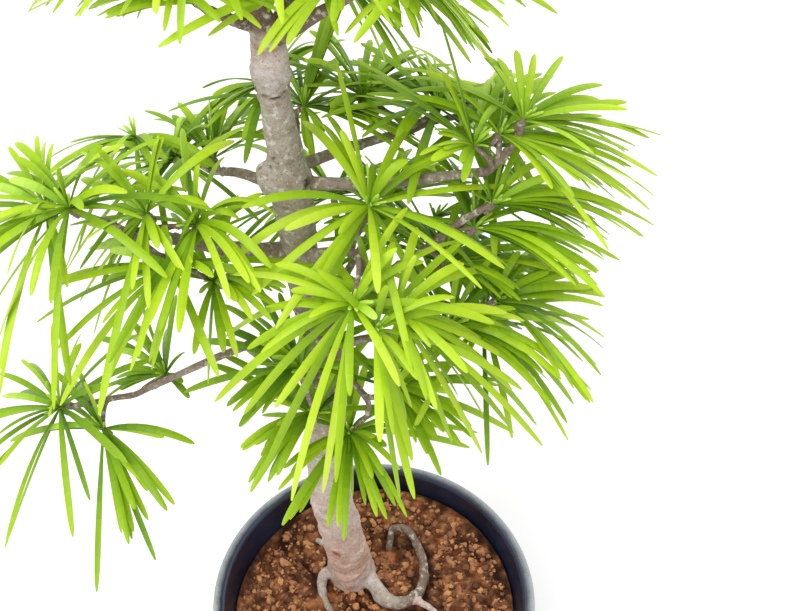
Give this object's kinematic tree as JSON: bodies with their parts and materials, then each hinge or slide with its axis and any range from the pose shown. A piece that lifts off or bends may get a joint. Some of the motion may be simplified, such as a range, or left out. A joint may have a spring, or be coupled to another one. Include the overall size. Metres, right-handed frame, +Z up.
{
  "type": "golden larch bonsai in a pot",
  "caption": "Small larch tree with tufts of long soft needles on tapering boughs, in a round glazed pot of soil.",
  "frame": {"origin": "middle of the pot's flat underside", "axes": "+Z up; +X to the right and +Y away from the viewer in the picture"},
  "size_m": [0.2639, 0.1973, 0.4895],
  "materials": {
    "pot_glaze": "satin",
    "soil": "matte",
    "bark": "matte",
    "needles": "satin"
  },
  "bodies": {
    "root": {"pot": "pot_glaze", "soil": "soil", "trunk": "bark", "bough_left": "bark", "bough_left_low": "bark", "bough_front": "bark", "bough_front_left": "bark", "bough_front_low": "bark", "bough_right": "bark", "bough_right_low": "bark", "bough_right_lowest": "bark", "bough_back_left": "bark", "bough_back": "bark", "bough_back_right": "bark", "bough_back_low": "bark", "bough_top_left": "bark", "bough_top_right": "bark", "bough_top_back": "bark", "foliage_front": "needles", "foliage_left": "needles", "foliage_right_high": "needles", "foliage_right": "needles", "foliage_right_low": "needles", "foliage_front_low": "needles", "foliage_front_left": "needles", "foliage_left_low": "needles", "foliage_top_right": "needles", "foliage_top_left": "needles", "foliage_top": "needles", "foliage_back_left": "needles", "foliage_back_right": "needles", "foliage_back": "needles", "foliage_back_low": "needles", "foliage_top_back": "needles"}
  },
  "joints": []
}
